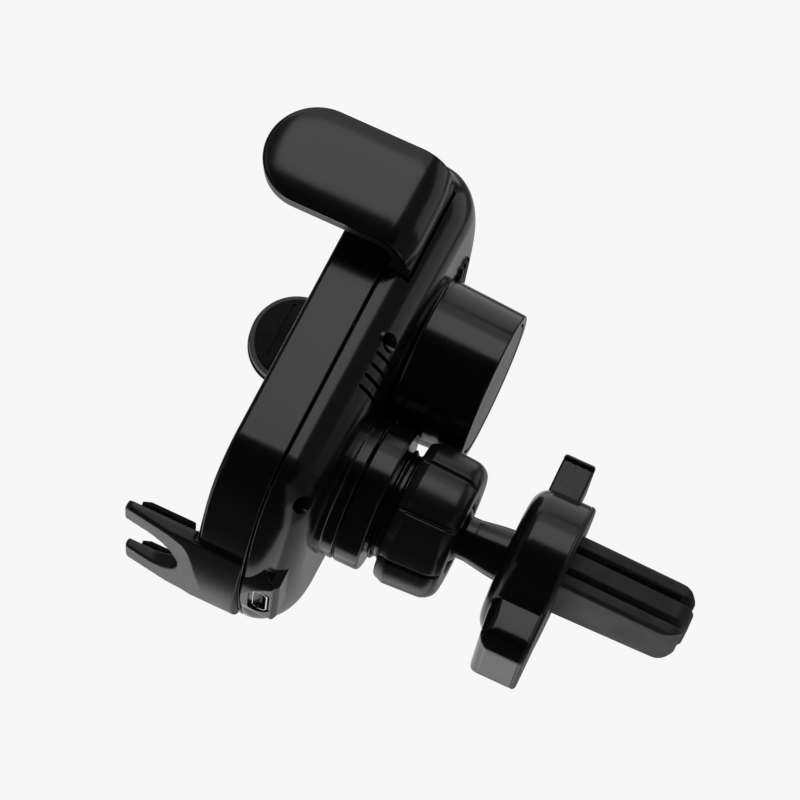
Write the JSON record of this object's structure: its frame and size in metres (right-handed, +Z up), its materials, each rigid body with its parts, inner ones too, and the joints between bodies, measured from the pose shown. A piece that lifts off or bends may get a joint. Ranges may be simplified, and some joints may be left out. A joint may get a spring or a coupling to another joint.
{
  "type": "car phone mount",
  "caption": "Air vent phone mount with sliding clamp arms, wireless charging panel, fork foot, ball joint with lobed nut, and a sprung vent clip with three prongs.",
  "frame": {"origin": "on the ball joint's axis, on the clip plate's face that rests against the vent", "axes": "+Y back into the vent, square to the clip plate; +Z up; +X to the right of a driver who faces the phone"},
  "size_m": [0.0872, 0.113, 0.0998],
  "materials": {
    "gloss_housing": "gloss",
    "satin_plastic": "satin, finely spark-eroded",
    "satin_nut": "satin",
    "soft_rubber": "matte silicone",
    "window_plastic": "gloss, dark infra-red window",
    "inner_plastic": "matte",
    "nylon": "satin, natural nylon",
    "steel": "satin",
    "copper_wire": "enamelled wire",
    "ferrite": "matte",
    "circuit_board": "solder resist"
  },
  "bodies": {
    "clip": {"clip_shell": "gloss_housing", "clip_plate": "satin_plastic", "leg_cap": "satin_plastic", "ball_stem": "gloss_housing", "middle_blade": "soft_rubber", "lever_pin": "steel", "lever_spring": "steel", "upper_jaw_pin": "steel", "lower_jaw_pin": "steel", "clip_screw_1": "steel", "clip_screw_2": "steel"},
    "release_lever": {"release_lever": "satin_plastic", "lever_cap": "satin_plastic"},
    "upper_jaw": {"upper_jaw": "soft_rubber", "upper_jaw_pad": "soft_rubber"},
    "lower_jaw": {"lower_jaw": "soft_rubber", "lower_jaw_pad": "soft_rubber"},
    "friction_cup": {"ball_friction_cup": "soft_rubber"},
    "liner_cup": {"ball_liner_cup": "nylon"},
    "head": {"front_casing": "gloss_housing", "charging_panel": "satin_plastic", "grip_ring": "soft_rubber", "sensor_window": "window_plastic", "chassis": "inner_plastic", "charging_coil": "copper_wire", "ferrite_sheet": "ferrite", "circuit_board": "circuit_board", "rear_cover": "gloss_housing", "pod_cap": "gloss_housing", "key_switch": "steel", "usb_shell": "steel", "usb_tongue": "inner_plastic", "socket_screw": "steel", "ball_socket": "gloss_housing", "gear_shaft": "steel", "drive_motor": "steel", "case_screw_1": "steel", "case_screw_2": "steel", "case_screw_3": "steel", "case_screw_4": "steel"},
    "rear_key": {"rear_key": "satin_plastic"},
    "clamp_ring": {"clamp_ring": "nylon"},
    "clamp_nut": {"clamp_nut": "satin_nut"},
    "arm_right": {"arm_cover_right": "gloss_housing", "arm_frame_right": "satin_plastic", "arm_pad_right": "soft_rubber"},
    "arm_left": {"arm_cover_left": "gloss_housing", "arm_frame_left": "satin_plastic", "arm_pad_left": "soft_rubber"},
    "drive_gear": {"drive_gear": "nylon"},
    "motor_pinion": {"motor_pinion": "steel"},
    "foot": {"foot_bracket": "satin_plastic", "foot_pad_right": "soft_rubber", "foot_pad_left": "soft_rubber"}
  },
  "joints": [
    {"name": "lever_press", "type": "hinge", "parent": "clip", "child": "release_lever", "pos_m": [0, -0.0062, 0.012], "axis": [-1, 0, 0], "range_deg": [0, 12], "stiffness_Nm_per_rad": 0.15, "springref_deg": -5.73},
    {"name": "upper_jaw_open", "type": "hinge", "parent": "clip", "child": "upper_jaw", "pos_m": [0, -0.0031, 0.0064], "axis": [1, 0, 0], "range_deg": [0, 8]},
    {"name": "lower_jaw_open", "type": "hinge", "parent": "clip", "child": "lower_jaw", "pos_m": [0, -0.0031, -0.0028], "axis": [1, 0, 0], "range_deg": [-8, 0]},
    {"name": "ball_pitch", "type": "hinge", "parent": "clip", "child": "friction_cup", "pos_m": [0, -0.0288, 0], "axis": [1, 0, 0], "range_deg": [-15, 15]},
    {"name": "ball_yaw", "type": "hinge", "parent": "friction_cup", "child": "liner_cup", "pos_m": [0, -0.0288, 0], "axis": [0, 0, 1], "range_deg": [-15, 15]},
    {"name": "ball_roll", "type": "hinge", "parent": "liner_cup", "child": "head", "pos_m": [0, -0.0288, 0], "axis": [0, 1, 0], "continuous": true},
    {"name": "nut_travel", "type": "slide", "parent": "head", "child": "clamp_ring", "axis": [0, 1, 0], "range_m": [0, 0.0007]},
    {"name": "nut_turn", "type": "hinge", "parent": "clamp_ring", "child": "clamp_nut", "pos_m": [0, -0.0288, 0], "axis": [0, 1, 0], "range_deg": [0, 120]},
    {"name": "key_press", "type": "slide", "parent": "head", "child": "rear_key", "axis": [0, -1, 0], "range_m": [0, 0.0008], "stiffness_N_per_m": 900, "springref_m": -0.0005},
    {"name": "arm_right_slide", "type": "slide", "parent": "head", "child": "arm_right", "axis": [-1, 0, 0], "range_m": [0, 0.0045]},
    {"name": "arm_left_slide", "type": "slide", "parent": "head", "child": "arm_left", "axis": [1, 0, 0], "range_m": [0, 0.0045]},
    {"name": "drive_gear_turn", "type": "hinge", "parent": "head", "child": "drive_gear", "pos_m": [0, -0.0518, 0.0419], "axis": [0, 1, 0], "range_deg": [-54.21, 0]},
    {"name": "motor_turn", "type": "hinge", "parent": "head", "child": "motor_pinion", "pos_m": [0, -0.0518, 0.0323], "axis": [0, 1, 0], "range_deg": [0, 151.4]},
    {"name": "foot_slide", "type": "slide", "parent": "head", "child": "foot", "axis": [0, 0, -1], "range_m": [0, 0.01]}
  ],
  "couplings": [
    {"joint": "upper_jaw_open", "follows": "lever_press", "ratio": 0.6667},
    {"joint": "lower_jaw_open", "follows": "lever_press", "ratio": -0.6667},
    {"joint": "nut_travel", "follows": "nut_turn", "m_per_rad": 0.0003183},
    {"joint": "arm_left_slide", "follows": "arm_right_slide", "ratio": 1},
    {"joint": "drive_gear_turn", "follows": "arm_right_slide", "rad_per_m": -208.33},
    {"joint": "motor_turn", "follows": "arm_right_slide", "rad_per_m": 583.33}
  ]
}
